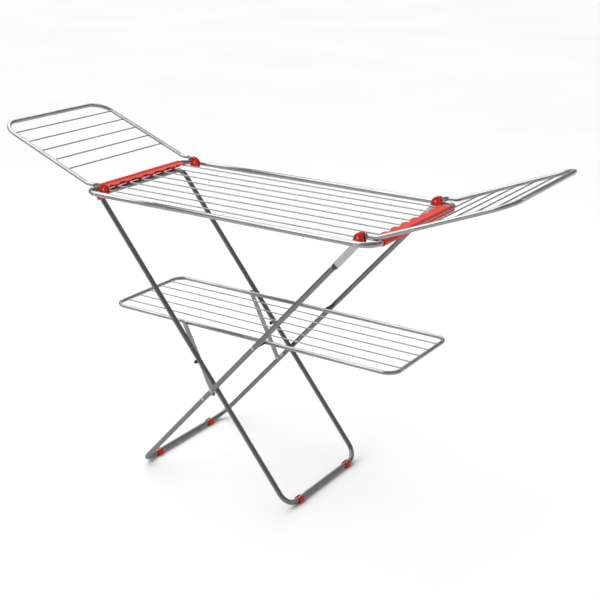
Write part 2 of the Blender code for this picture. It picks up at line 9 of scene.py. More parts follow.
import bmesh
import bpy
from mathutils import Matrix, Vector


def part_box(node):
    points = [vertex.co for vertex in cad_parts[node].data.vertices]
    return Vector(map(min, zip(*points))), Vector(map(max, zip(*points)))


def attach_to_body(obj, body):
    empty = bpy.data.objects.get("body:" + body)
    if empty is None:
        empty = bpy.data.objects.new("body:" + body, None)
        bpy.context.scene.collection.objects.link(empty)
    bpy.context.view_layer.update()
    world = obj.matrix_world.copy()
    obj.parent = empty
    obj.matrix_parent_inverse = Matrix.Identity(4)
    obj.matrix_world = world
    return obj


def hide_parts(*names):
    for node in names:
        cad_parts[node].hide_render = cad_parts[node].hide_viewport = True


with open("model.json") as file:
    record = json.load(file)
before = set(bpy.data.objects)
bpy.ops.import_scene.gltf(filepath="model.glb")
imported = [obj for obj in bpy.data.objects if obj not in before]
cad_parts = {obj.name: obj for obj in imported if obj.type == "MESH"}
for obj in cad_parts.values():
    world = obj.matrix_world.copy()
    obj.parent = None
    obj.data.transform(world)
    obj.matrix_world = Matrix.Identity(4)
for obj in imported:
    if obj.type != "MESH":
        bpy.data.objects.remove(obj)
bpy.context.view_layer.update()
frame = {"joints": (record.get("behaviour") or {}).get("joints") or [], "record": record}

# The CAD tubes have twelve sides and lie on a flat, so their boxes are this much narrower
CAD_ROUND = math.cos(math.pi / 12)

# Tube and wire radii
RACK_TUBE = 0.0085
WING_TUBE = 0.007
LEG_TUBE = 0.0085
SHELF_TUBE = 0.0065
WIRE = 0.0022
SHELF_WIRE = 0.0021

# Corner radii of the tube loops
RACK_CORNER = 0.050
WING_CORNER = 0.065
LEG_CORNER = 0.050
INNER_TOP_CORNER = 0.030
SHELF_CORNER = 0.040

# Flattened tube ends at the hinges
FLAT_HALF_THICKNESS = 0.002
WING_FLAT_LENGTH = 0.027
WING_FLAT_HALF_WIDTH = 0.0085
WING_TAPER = 0.016
WING_BEND = 0.048
LEG_FLAT_LENGTH = 0.105
LEG_FLAT_HALF_WIDTH = 0.0105
LEG_TAPER = 0.016
LEG_FLAT_LIFT = 0.0006
FLAT_SQUARENESS = 0.45

# A painted highlight: the legs' pressed ends take a lighter paint where a face looks this squarely along Y
HIGHLIGHT_FACING = 0.9

# Rivets
PIN = 0.0025
HEAD = 0.0055
WING_PIN_HEAD = 0.0038
HEAD_THICKNESS = 0.0019
HEAD_LIFT = 0.0002
HEAD_SPACE = 0.0021
SPACER = 0.0045
STRUT_SPACER = 0.004
STRUT_FACE = 0.1867
SLEEVE_GAP = 0.0008
SHELF_SLEEVE_GAP = 0.0006
COLLAR_RIM = 0.0006

# Studio sky: dim all round, with one broad bright panel high up over the rack's left end
SKY_DIM = 0.36
PANEL_BRIGHT = 3.2
PANEL_LOW_EDGE = (0.32, 0.52)
PANEL_LEFT_EDGE = (-0.95, -0.80)
PANEL_RIGHT_EDGE = (-0.38, -0.12)

FLOOR_HALF_SIZE = 300.0

# Camera
CAMERA_AZIMUTH = math.radians(33.8)
CAMERA_ELEVATION = math.radians(20.0)
CAMERA_TARGET = Vector((0.124, 0.0, 0.640))
CAMERA_DISTANCE = 3.707
CAMERA_LENS = 68.92

# Share of the paint's colour that its flakes make up
FLAKE_SHARE = 0.15

# Plastic parts
EDGE = 0.0007
FINE_EDGE = 0.0006
COMB_INNER = 0.0089
COMB_PLATE = (0.0045, 0.0075)
COMB_PLATE_BACK = 0.0080
COMB_INSET = 0.002
COMB_MOUTH = math.radians(24)
COMB_NOTCH_SHARE = 0.63
COMB_HALF_TOOTH = 0.0175
FOOT_HEIGHT = 0.003
FOOT_CHAMFER = 0.003
FOOT_RIM = 55
GROOVE_SHARES = (0.3, 0.5, 0.7)
GROOVE_HALF_WIDTH = 0.0012
GROOVE_DEPTH = 0.0007
KNOB_NOSE = 0.003
KNOB_NECK = 0.0030

# Hinge brackets: a slotted block; u runs inboard from the wing's pin, v up
BRACKET_HALF_SLOT = 0.0025
BRACKET_SLOT_BOTTOM = -0.0095
BRACKET_APEX = (-0.016, 0.018)
BRACKET_TIP = (0.0145, -0.001)
BRACKET_OUTBOARD = (-0.0215, -0.004)
BRACKET_BOTTOM = -0.0165
BRACKET_LUG = ((0.0185, -0.012), (0.0185, -0.0285), (0.000, -0.0285))
BRACKET_HOOK = ((-0.010, -0.0165), (-0.016, -0.0265), (-0.028, -0.0394), (-0.036, -0.026))
POCKET_CENTRE = (-0.004, -0.001)
POCKET_SHARE = 0.74
POCKET_DEPTH = 0.0010
BOSS = 0.0074
BOSS_DEPTH = 0.002
BOSS_CHAMFER = 0.0003

# Struts
STRUT_HALF_WIDTH = 0.009
STRUT_THICKNESS = 0.0025
BUTTON_SINK = 0.0005
BUTTON_HEIGHT = 0.003

# Butt seams across a loop's long rails, as shares of its length, and the seam's groove
RACK_SEAM = 0.27
SHELF_SEAM = 0.5
SEAM_GROOVE = ((-0.0012, 0.0), (-0.0004, 0.0006), (0.0004, 0.0006), (0.0012, 0.0))

# Wires: how many, their gap from the tube's wall, and the fillet of each weld
RACK_WIRES = 8
WING_WIRES = 5
SHELF_WIRES = 5
WIRE_GAP = 0.0004
WELD_SINK = 0.0012
WELD_FILLET = ((-WELD_SINK, 0.0012), (0.0, 0.0011), (0.0012, 0.0004), (0.0028, 0.0))

SIDES_ROUND = 28
WIRE_SIDES = 14
ARC_STEPS = 14
BEND_STEPS = 24
SIDES = (("front", -1.0), ("back", 1.0))
ENDS = (("left", -1.0), ("right", 1.0))
Y_AXIS = Vector((0.0, 1.0, 0.0))

JOINTS = {joint["name"]: Vector(joint["pos_m"]) for joint in frame["joints"]}
BODY_OF = {
    node: body
    for body, nodes in frame["record"]["behaviour"]["bodies"].items()
    for node in nodes
}


# ---------------------------------------------------------------- materials


class Nodes:
    """Builds one node material, a link at a time."""

    def __init__(self, name):
        self.material = bpy.data.materials.new(name)
        self.material.use_nodes = True
        self.tree = self.material.node_tree
        self.shader = self.tree.nodes["Principled BSDF"]
        self.place = self.add("ShaderNodeTexCoord").outputs["Object"]

    def add(self, kind, **values):
        node = self.tree.nodes.new(kind)
        for key, value in values.items():
            setattr(node, key, value)
        return node

    def link(self, source, target):
        self.tree.links.new(source, target)

    def noise(self, scale, detail=3.0, stretch=None):
        """A noise pattern, with a scale in features per metre."""
        node = self.add("ShaderNodeTexNoise")
        node.inputs["Scale"].default_value = scale
        node.inputs["Detail"].default_value = detail
        source = self.place
        if stretch:
            mapping = self.add("ShaderNodeMapping")
            mapping.inputs["Scale"].default_value = stretch
            self.link(source, mapping.inputs["Vector"])
            source = mapping.outputs["Vector"]
        self.link(source, node.inputs["Vector"])
        return node.outputs["Fac"]

    def between(self, factor, low, high, start=0.3, end=0.7):
        """Maps a 0 to 1 pattern to a value between low and high."""
        node = self.add("ShaderNodeMapRange")
        node.inputs["From Min"].default_value = start
        node.inputs["From Max"].default_value = end
        node.inputs["To Min"].default_value = low
        node.inputs["To Max"].default_value = high
        self.link(factor, node.inputs["Value"])
        return node.outputs["Result"]

    def colours(self, factor, *stops):
        """A colour ramp of (position, colour) stops."""
        node = self.add("ShaderNodeValToRGB")
        ramp = node.color_ramp
        while len(ramp.elements) < len(stops):
            ramp.elements.new(0.5)
        for element, (position, colour) in zip(ramp.elements, stops):
            element.position = position
            element.color = (*colour, 1.0)
        self.link(factor, node.inputs["Fac"])
        return node.outputs["Color"]

    def mix(self, share, first, second):
        """A fixed share of the second colour over the first."""
        node = self.add("ShaderNodeMix", data_type="RGBA")
        node.inputs["Factor"].default_value = share
        self.link(first, node.inputs[6])
        self.link(second, node.inputs[7])
        return node.outputs[2]

    def bump(self, height, strength, distance):
        node = self.add("ShaderNodeBump")
        node.inputs["Strength"].default_value = strength
        node.inputs["Distance"].default_value = distance
        self.link(height, node.inputs["Height"])
        self.link(node.outputs["Normal"], self.shader.inputs["Normal"])

    def set(self, **values):
        for key, value in values.items():
            self.shader.inputs[key.replace("_", " ")].default_value = value


def shade(colour, factor):
    return tuple(channel * factor for channel in colour)


def silver_paint(name, colour, roughness):
    """Metallic silver paint on tube: cloudy flake, fine orange peel, small dull scuffs."""
    nodes = Nodes(name)
    cloud = nodes.noise(14.0, 4.0)
    base = nodes.colours(cloud, (0.3, shade(colour, 0.86)), (0.7, shade(colour, 1.1)))
    flake = nodes.noise(2600.0, 1.0)
    bright = nodes.colours(flake, (0.35, shade(colour, 0.85)), (0.7, shade(colour, 1.2)))
    paint = nodes.mix(FLAKE_SHARE, base, bright)
    nodes.link(paint, nodes.shader.inputs["Base Color"])
    scuffs = nodes.noise(90.0, 6.0)
    nodes.link(nodes.between(scuffs, roughness - 0.03, roughness + 0.06), nodes.shader.inputs["Roughness"])
    nodes.bump(nodes.noise(700.0, 2.0), 0.05, 0.0001)
    nodes.set(Metallic=0.9, Coat_Weight=0.2, Coat_Roughness=0.1)
    return nodes.material


def zinc(name, colour, roughness):
    """Bright zinc plate on pressed steel: a fine grain and faint darker clouds."""
    nodes = Nodes(name)
    cloud = nodes.noise(60.0, 5.0)
    base = nodes.colours(cloud, (0.3, shade(colour, 0.8)), (0.72, shade(colour, 1.1)))
    nodes.link(base, nodes.shader.inputs["Base Color"])
    grain = nodes.noise(400.0, 3.0, (1.0, 1.0, 5.0))
    nodes.link(nodes.between(grain, roughness - 0.06, roughness + 0.1), nodes.shader.inputs["Roughness"])
    nodes.bump(grain, 0.15, 0.0001)
    nodes.set(Metallic=1.0)
    return nodes.material


def moulded_plastic(name, colour, roughness, grain_strength):
    """Injection-moulded plastic: faint flow clouds, a fine spark-eroded grain, soft gloss."""
    nodes = Nodes(name)
    flow = nodes.noise(45.0, 3.0, (1.0, 0.35, 1.0))
    base = nodes.colours(flow, (0.3, shade(colour, 0.88)), (0.7, shade(colour, 1.08)))
    nodes.link(base, nodes.shader.inputs["Base Color"])
    grain = nodes.noise(1500.0, 2.0)
    rubbed = nodes.noise(120.0, 4.0)
    nodes.link(nodes.between(rubbed, roughness - 0.06, roughness + 0.1), nodes.shader.inputs["Roughness"])
    nodes.bump(grain, grain_strength, 0.0002)
    nodes.set(Metallic=0.0, Specular_IOR_Level=0.16, Coat_Weight=0.03, Coat_Roughness=0.3)
    return nodes.material


def floor_paint():
    nodes = Nodes("floor_paint")
    cloud = nodes.noise(0.7, 2.0)
    base = nodes.colours(cloud, (0.3, (0.86, 0.86, 0.86)), (0.7, (0.89, 0.89, 0.89)))
    nodes.link(base, nodes.shader.inputs["Base Color"])
    nodes.set(Roughness=0.9, Specular_IOR_Level=0.1)
    return nodes.material


RACK_PAINT = silver_paint("rack_paint", (0.29, 0.29, 0.293), 0.20)
# Painted shade: the legs' silver paint is a darker copy of the rack's paint
LEG_SHADED_PAINT = silver_paint("leg_paint", (0.18, 0.18, 0.182), 0.20)
# Painted highlight: a lighter copy of the leg paint for the broad faces of the legs' pressed ends
PRESSED_HIGHLIGHT_PAINT = silver_paint("pressed_highlight_paint", (0.46, 0.46, 0.465), 0.24)
SHELF_PAINT = silver_paint("shelf_paint", (0.27, 0.27, 0.273), 0.20)
WIRE_PAINT = silver_paint("wire_paint", (0.20, 0.20, 0.202), 0.26)
STRUT_ZINC = zinc("strut_zinc", (0.26, 0.26, 0.265), 0.34)
RIVET_ZINC = zinc("rivet_zinc", (0.45, 0.45, 0.455), 0.28)
RED_PLASTIC = moulded_plastic("red_plastic", (0.62, 0.024, 0.007), 0.45, 0.10)
DARK_PLASTIC = moulded_plastic("dark_plastic", (0.030, 0.030, 0.032), 0.42, 0.25)


# ---------------------------------------------------------------- shapes


def finish_mesh(name, shape, material, sharp=40.0):
    """Turns a bmesh into a shaded object."""
    bmesh.ops.recalc_face_normals(shape, faces=shape.faces)
    mesh = bpy.data.meshes.new(name)
    shape.to_mesh(mesh)
    shape.free()
    mesh.shade_smooth()
    mesh.set_sharp_from_angle(angle=math.radians(sharp))
    mesh.materials.append(material)
    made = bpy.data.objects.new(name, mesh)
    bpy.context.scene.collection.objects.link(made)
    return made


def skin(name, rings, material, closed=False, sharp=40.0):
    """Joins rings of points into a tube, capped at both ends unless it closes on itself."""
    shape = bmesh.new()
    loops = [[shape.verts.new(point) for point in ring] for ring in rings]
    spans = len(rings) if closed else len(rings) - 1
    for i in range(spans):
        here, there = loops[i], loops[(i + 1) % len(loops)]
        for k in range(len(here)):
            n = (k + 1) % len(here)
            shape.faces.new((here[k], here[n], there[n], there[k]))
    if not closed:
        shape.faces.new(loops[0])
        shape.faces.new(loops[-1])
    return finish_mesh(name, shape, material, sharp)


def attach(piece, node, slot=None, replace=True):
    """The piece moves with the CAD node's body, and stands for the node."""
    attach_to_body(piece, BODY_OF[node])
    if replace:
        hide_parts(node)
    return piece


def sign_power(value, power):
    return math.copysign(abs(value) ** power, value)


def smooth(share):
    """Eases a 0 to 1 share in and out."""
    return share * share * (3 - 2 * share)


def oval(centre, across, normal, half_across, half_normal, squareness):
    """A ring round a point; squareness 1 is an ellipse, less is flatter-sided."""
    ring = []
    for k in range(SIDES_ROUND):
        angle = 2 * math.pi * (k + 0.5) / SIDES_ROUND
        u = half_across * sign_power(math.cos(angle), squareness)
        v = half_normal * sign_power(math.sin(angle), squareness)
        ring.append(centre + across * u + normal * v)
    return ring


def arc(centre_s, centre_y, radius, start, end):
    points = []
    for k in range(ARC_STEPS + 1):
        angle = start + (end - start) * k / ARC_STEPS
        points.append((centre_s + radius * math.cos(angle), centre_y + radius * math.sin(angle)))
    return points


def bent_tube(name, origin, direction, stations, closed, material):
    """A tube along direction; each station is (s, y, height, two half sizes, squareness)."""
    normal = direction.cross(Y_AXIS)
    if normal.z < 0:
        normal.negate()
    centres = [origin + direction * s + Y_AXIS * y + normal * up for s, y, up, *_ in stations]
    last = len(centres) - 1
    rings = []
    for i, centre in enumerate(centres):
        before = centres[i - 1] if i > 0 or closed else centre
        after = centres[(i + 1) % len(centres)] if i < last or closed else centre
        across = (after - before).normalized().cross(normal)
        rings.append(oval(centre, across.normalized(), normal, *stations[i][3:]))
    return skin(name, rings, material, closed)


def narrowed(stations, tube):
    """Stations of round tube from (s, y, drop), each with its radius less by the drop."""
    return [(s, y, 0.0, tube - drop, tube - drop, 1.0) for s, y, drop in stations]


def ring_tube(name, start, end, half_width, tube, corners, material, seams=()):
    """A closed loop of tube from start to end, with butt seams across both long rails."""
    length = (end - start).length
    direction = (end - start).normalized()
    near_corner, far_corner = corners
    far = length - far_corner
    near_y, far_y = half_width - near_corner, half_width - far_corner
    first = [(s + step, -half_width, drop) for s in seams for step, drop in SEAM_GROOVE]
    second = [(s, half_width, drop) for s, _, drop in reversed(first)]
    path = [(s, y, 0.0) for s, y in arc(near_corner, -near_y, near_corner, math.pi, 1.5 * math.pi)]
    path += first
    path += [(s, y, 0.0) for s, y in arc(far, -far_y, far_corner, 1.5 * math.pi, 2 * math.pi)]
    path += [(s, y, 0.0) for s, y in arc(far, far_y, far_corner, 0.0, 0.5 * math.pi)]
    path += second
    path += [(s, y, 0.0) for s, y in arc(near_corner, near_y, near_corner, 0.5 * math.pi, math.pi)]
    return bent_tube(name, start, direction, narrowed(path, tube), True, material)


def u_tube(name, pivot, end, half_width, tube, corner, flat, material):
    """A U of tube with both ends pressed flat and rounded off about the pivot.

    flat is (length, half width, distance from the middle plane, taper, bend, drop): past the
    flat, the tube is round again after the taper, and has sunk by the drop after the bend.
    """
    flat_length, flat_half_width, flat_y, taper, bend, drop = flat
    length = (end - pivot).length
    direction = (end - pivot).normalized()
    thin = FLAT_HALF_THICKNESS
    side = []
    for degrees in (86, 76, 64, 52, 38, 24, 12, 0):
        angle = math.radians(degrees)
        edge = min(1.0, 0.55 + 0.9 * math.cos(angle))
        side.append((
            -flat_half_width * math.sin(angle), -flat_y, 0.0,
            thin * edge, flat_half_width * math.cos(angle), FLAT_SQUARENESS,
        ))
    for k in range(BEND_STEPS + 1):
        share = k / BEND_STEPS
        pressed = 1.0 - smooth(min(1.0, share * bend / taper))
        side.append((
            flat_length + bend * share,
            -half_width + (half_width - flat_y) * pressed,
            -drop * smooth(share),
            tube + (thin - tube) * pressed,
            tube + (flat_half_width - tube) * pressed,
            1.0 + (FLAT_SQUARENESS - 1.0) * pressed,
        ))
    corner_path = arc(length - corner, corner - half_width, corner, 1.5 * math.pi, 2 * math.pi)
    side += [(s, y, -drop, tube, tube, 1.0) for s, y in corner_path]
    other = [(s, -y, *section) for s, y, *section in reversed(side)]
    return bent_tube(name, pivot, direction, side + other, False, material)


def welded_wire(name, start, end, radius, material):
    """A wire whose ends run into the tubes; each weld is a small fillet round the end."""
    along = (end - start).normalized()
    across = along.orthogonal().normalized()
    other = along.cross(across)
    length = (end - start).length
    profile = [(s, radius + extra) for s, extra in WELD_FILLET]
    profile += [(length - s, r) for s, r in reversed(profile)]
    rings = []
    for s, r in profile:
        ring = []
        for k in range(WIRE_SIDES):
            angle = 2 * math.pi * k / WIRE_SIDES
            offset = across * math.cos(angle) + other * math.sin(angle)
            ring.append(start + along * s + offset * r)
        rings.append(ring)
    return skin(name, rings, material)


def turned(name, axis, side, profile, material):
    """A piece turned about a line along Y; profile is (distance from the middle plane, radius)."""
    rings = []
    for y, radius in profile:
        ring = []
        for k in range(SIDES_ROUND):
            angle = 2 * math.pi * (k + 0.5) / SIDES_ROUND
            x, z = axis.x + radius * math.cos(angle), axis.z + radius * math.sin(angle)
            ring.append(Vector((x, side * y, z)))
        rings.append(ring)
    return skin(name, rings, material, sharp=50.0)


def dome(face, outward, radius, thickness):
    """Profile of a domed rivet head on a face, from its rim to the middle of the dome."""
    points = [(face, radius)]
    for degrees in (0, 20, 40, 60, 78):
        angle = math.radians(degrees)
        height = thickness * (0.25 + 0.75 * math.sin(angle))
        points.append((face + outward * height, radius * (0.12 + 0.88 * math.cos(angle))))
    return points


def rivet_profile(outer_face, inner_face, head):
    """A domed head outside the outer face, the shank, and an upset head with a dimple."""
    outer = list(reversed(dome(outer_face + HEAD_LIFT, 1.0, head, HEAD_THICKNESS)))
    inner = dome(inner_face - HEAD_LIFT, -1.0, 0.92 * head, 0.8 * HEAD_THICKNESS)
    inner += [(inner_face - 0.75 * HEAD_THICKNESS, 0.0009), (inner_face - 0.2 * HEAD_THICKNESS, 0.0004)]
    return outer + [(outer_face + HEAD_LIFT, PIN), (inner_face - HEAD_LIFT, PIN)] + inner


def slab(name, outline, low, high, place, material):
    """An outline pushed from low to high; place turns (u, v, depth) into a point."""
    rings = [[place(u, v, depth) for u, v in outline] for depth in (low, high)]
    return skin(name, rings, material, sharp=25.0)


def boolean(target, other, operation):
    """Joins or cuts target with other, which is then removed."""
    modifier = target.modifiers.new("boolean", "BOOLEAN")
    modifier.operation = operation
    modifier.solver = "EXACT"
    modifier.object = other
    graph = bpy.context.evaluated_depsgraph_get()
    mesh = bpy.data.meshes.new_from_object(target.evaluated_get(graph))
    target.modifiers.clear()
    target.data = mesh
    bpy.data.objects.remove(other, do_unlink=True)


def soften(piece, width=EDGE, segments=3, angle=35.0):
    """Rounds the moulded piece's edges and shades it smooth."""
    shape = bmesh.new()
    shape.from_mesh(piece.data)
    bmesh.ops.remove_doubles(shape, verts=shape.verts, dist=0.00002)
    bmesh.ops.dissolve_limit(
        shape, angle_limit=math.radians(1.0), verts=shape.verts, edges=shape.edges
    )
    shape.to_mesh(piece.data)
    shape.free()
    modifier = piece.modifiers.new("rounding", "BEVEL")
    modifier.width = width
    modifier.segments = segments
    modifier.limit_method = "ANGLE"
    modifier.angle_limit = math.radians(angle)
    modifier.harden_normals = True
    piece.data.shade_smooth()
    return piece


# ---------------------------------------------------------------- places


def loop_ends(node, tube):
    """Centre-line extremes of a tube loop lying flat: left end, right end, half width."""
    low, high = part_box(node)
    margin = tube * CAD_ROUND
    middle = (low.z + high.z) / 2
    start = Vector((low.x + margin, 0.0, middle))
    end = Vector((high.x - margin, 0.0, middle))
    return start, end, high.y - margin


def wire_line(node):
    """The two ends of a wire that runs along X."""
    low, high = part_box(node)
    y, z = (low.y + high.y) / 2, (low.z + high.z) / 2
    return Vector((low.x, y, z)), Vector((high.x, y, z))


def cross_wire_line(node):
    """The two ends of a wire that runs along Y."""
    low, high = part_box(node)
    x, z = (low.x + high.x) / 2, (low.z + high.z) / 2
    return Vector((x, low.y, z)), Vector((x, high.y, z))


def middle_of(node):
    low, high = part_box(node)
    return (low + high) / 2


def faces_of(node):
    """The node's nearest and farthest distances from the middle plane."""
    low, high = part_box(node)
    return min(abs(low.y), abs(high.y)), max(abs(low.y), abs(high.y))


# ---------------------------------------------------------------- the rack


def build_rack():
    start, end, half_width = loop_ends("main_frame", RACK_TUBE)
    seams = (RACK_SEAM * (end - start).length,)
    corners = (RACK_CORNER, RACK_CORNER)
    loop = ring_tube("rack_loop", start, end, half_width, RACK_TUBE, corners, RACK_PAINT, seams)
    attach(loop, "main_frame", "rack_tube")
    for i in range(RACK_WIRES):
        node = f"rack_wire_{i + 1}"
        wire = welded_wire(f"rack_line_{i + 1}", *wire_line(node), WIRE, WIRE_PAINT)
        attach(wire, node, "wire")


def comb_teeth(low, high, wires, reach):
    """Top view of a comb: straight at the back, one rounded tooth over each wire in front."""
    notch = COMB_NOTCH_SHARE * reach
    outline = [(COMB_PLATE_BACK, low), (notch, low)]
    for wire in wires:
        margin = COMB_HALF_TOOTH + 0.0005
        y = max(low + margin, min(high - margin, wire))
        for k in range(13):
            angle = math.radians(-84 + 14 * k)
            u = notch + (reach - notch) * sign_power(math.cos(angle), 0.6)
            outline.append((u, y + COMB_HALF_TOOTH * sign_power(math.sin(angle), 0.8)))
    return outline + [(notch, high), (COMB_PLATE_BACK, high)]


def open_ring(inner, outer, open_half_angle, towards, steps):
    """A C-shaped outline with its mouth towards an angle."""
    turn = 2 * math.pi - 2 * open_half_angle
    angles = [towards + open_half_angle + turn * k / steps for k in range(steps + 1)]
    outside = [(outer * math.cos(a), outer * math.sin(a)) for a in angles]
    inside = [(inner * math.cos(a), inner * math.sin(a)) for a in reversed(angles)]
    return outside + inside


def build_comb(name, side, tube):
    """A sleeve clipped on the end tube, a scalloped plate, and a clip round each wire."""
    node = f"comb_{name}"
    low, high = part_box(node)
    back, front = (high.x, low.x) if side > 0 else (low.x, high.x)
    outer, reach = abs(back - tube.x), abs(front - tube.x)
    wires = [middle_of(f"rack_wire_{i + 1}").y for i in range(RACK_WIRES)]

    def place(u, v, y):
        return Vector((tube.x - side * u, y, tube.z + v))

    def place_flat(u, y, v):
        return place(u, v, y)

    sleeve = open_ring(COMB_INNER, outer, COMB_MOUTH, 0.0, 40)
    comb = slab(f"comb_{name}_body", sleeve, low.y, high.y, place, RED_PLASTIC)
    teeth = comb_teeth(low.y + COMB_INSET, high.y - COMB_INSET, wires, reach)
    plate = slab("teeth", teeth, *COMB_PLATE, place_flat, RED_PLASTIC)
    boolean(comb, plate, "UNION")
    soften(comb, FINE_EDGE, 2)
    attach(comb, node, "red_plastic")
    ring = open_ring(WIRE + 0.0002, WIRE + 0.0024, math.radians(50), -math.pi / 2, 18)
    for i, wire in enumerate(wires):
        if abs(wire) > high.y - COMB_HALF_TOOTH / 2:
            continue
        clip = slab(
            f"comb_{name}_clip_{i + 1}", ring, 0.014, reach - 0.004,
            lambda across, v, u, wire=wire: place(u, v, wire + across), RED_PLASTIC,
        )
        attach(clip, node, "red_plastic", replace=False)


def build_combs():
    start, end, _ = loop_ends("main_frame", RACK_TUBE)
    build_comb("left", -1.0, start)
    build_comb("right", 1.0, end)


def bracket_outline(underside):
    """Side view of a bracket, u inboard and v up from the wing's pin."""
    apex_u, apex_v = BRACKET_APEX
    tip_u, tip_v = BRACKET_TIP
    outline = []
    for k in range(13):
        angle = math.pi / 2 * (1 - k / 12)
        u = apex_u + (tip_u - apex_u) * math.cos(angle)
        outline.append((u, tip_v + (apex_v - tip_v) * math.sin(angle)))
    return outline + underside + [BRACKET_OUTBOARD]


def shrink(outline, centre, factor):
    return [
        (centre[0] + (u - centre[0]) * factor, centre[1] + (v - centre[1]) * factor)
        for u, v in outline
    ]


def build_bracket(end_name, end_side, side_name, side):
    """A moulded block slotted for the wing, with a shallow pocket and a boss inside."""
    node = f"bracket_{end_name}_{side_name}"
    pivot = JOINTS[f"{end_name}_wing_turn"]
    inner, outer = faces_of(node)
    inboard = (BRACKET_TIP[0], BRACKET_BOTTOM)
    outboard = (BRACKET_OUTBOARD[0], BRACKET_BOTTOM)
    if end_name == "right":
        underside = [*BRACKET_LUG, outboard]
    elif side_name == "front":
        underside = [inboard, *BRACKET_HOOK]
    else:
        underside = [inboard, outboard]

    def place(u, v, y):
        return Vector((pivot.x - end_side * u, side * y, pivot.z + v))

    bracket = slab(
        f"hinge_{end_name}_{side_name}", bracket_outline(underside), inner, outer, place, RED_PLASTIC
    )
    far = 0.06
    slot = [(-far, BRACKET_SLOT_BOTTOM), (far, BRACKET_SLOT_BOTTOM), (far, far), (-far, far)]
    middle = (inner + outer) / 2
    low, high = middle - BRACKET_HALF_SLOT, middle + BRACKET_HALF_SLOT
    boolean(bracket, slab("slot", slot, low, high, place, RED_PLASTIC), "DIFFERENCE")
    pocket = shrink(bracket_outline([inboard, outboard]), POCKET_CENTRE, POCKET_SHARE)
    floor = inner + POCKET_DEPTH
    cutter = slab("pocket", pocket, inner - BOSS_DEPTH, floor, place, RED_PLASTIC)
    boolean(bracket, cutter, "DIFFERENCE")
    soften(bracket)
    attach(bracket, node, "red_plastic")
    boss = turned(
        f"hinge_boss_{end_name}_{side_name}", pivot, side,
        [
            (inner + BOSS_DEPTH, BOSS), (inner + BOSS_CHAMFER, BOSS),
            (inner, BOSS - 0.0004), (inner, 0.0030),
        ],
        RED_PLASTIC,
    )
    attach(boss, node, "red_plastic", replace=False)


def build_bracket_rivets(end_name, side_name, side):
    """The wing's pin, and the rivet through the rail with its spacer against the bracket."""
    name = f"{end_name}_{side_name}"
    node = f"wing_rivet_{name}"
    pivot = JOINTS[f"{end_name}_wing_turn"]
    attach(rivet(node, f"wing_pin_{name}", pivot, side, WING_PIN_HEAD), node, "rivet")
    node = f"rail_rivet_{name}"
    place = middle_of(node)
    blind_end, outer = faces_of(node)
    _, rail_outer = faces_of("main_frame")
    _, block_face = faces_of(f"bracket_{name}")
    profile = list(reversed(dome(outer - HEAD_SPACE + HEAD_LIFT, 1.0, HEAD, HEAD_THICKNESS)))
    profile += [(outer - HEAD_SPACE + HEAD_LIFT, PIN), (blind_end, PIN)]
    attach(turned(f"rail_pin_{name}", place, side, profile, RIVET_ZINC), node, "rivet")
    rail_inner = rail_outer - 2 * RACK_TUBE * CAD_ROUND
    spacer = collar(
        f"rail_spacer_{name}", place, side, rail_inner, block_face + WIRE_GAP, SPACER, RIVET_ZINC
    )
    attach(spacer, node, "rivet", replace=False)


def build_hinges():
    for end_name, end_side in ENDS:
        for side_name, side in SIDES:
            build_bracket(end_name, end_side, side_name, side)
            build_bracket_rivets(end_name, side_name, side)


def build_wings():
    for name, side in ENDS:
        node = f"wing_{name}"
        pivot = JOINTS[f"{name}_wing_turn"]
        low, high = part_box(node)
        tilt = middle_of(f"{node}_wire_{WING_WIRES}") - middle_of(f"{node}_wire_1")
        tilt.normalize()
        tip = (high.x if side > 0 else low.x) - side * WING_TUBE * CAD_ROUND
        to_wire = middle_of(f"{node}_wire_1") - pivot
        drop = (to_wire - tilt * to_wire.dot(tilt)).length
        end = pivot + tilt * ((tip - pivot.x - side * drop * tilt.z) / tilt.x)
        flat_y = sum(faces_of(f"bracket_{name}_front")) / 2
        start, stop = cross_wire_line(f"{node}_wire_1")
        half_width = (stop.y - start.y) / 2 + WING_TUBE + WIRE_GAP
        wing = u_tube(
            f"wing_{name}_loop", pivot, end, half_width, WING_TUBE, WING_CORNER,
            (WING_FLAT_LENGTH, WING_FLAT_HALF_WIDTH, flat_y, WING_TAPER, WING_BEND, drop), RACK_PAINT,
        )
        attach(wing, node, "wing_tube")
        for i in range(WING_WIRES):
            wire_node = f"{node}_wire_{i + 1}"
            wire = welded_wire(f"wing_{name}_line_{i + 1}", *cross_wire_line(wire_node), WIRE, WIRE_PAINT)
            attach(wire, wire_node, "wire")


# ---------------------------------------------------------------- the legs


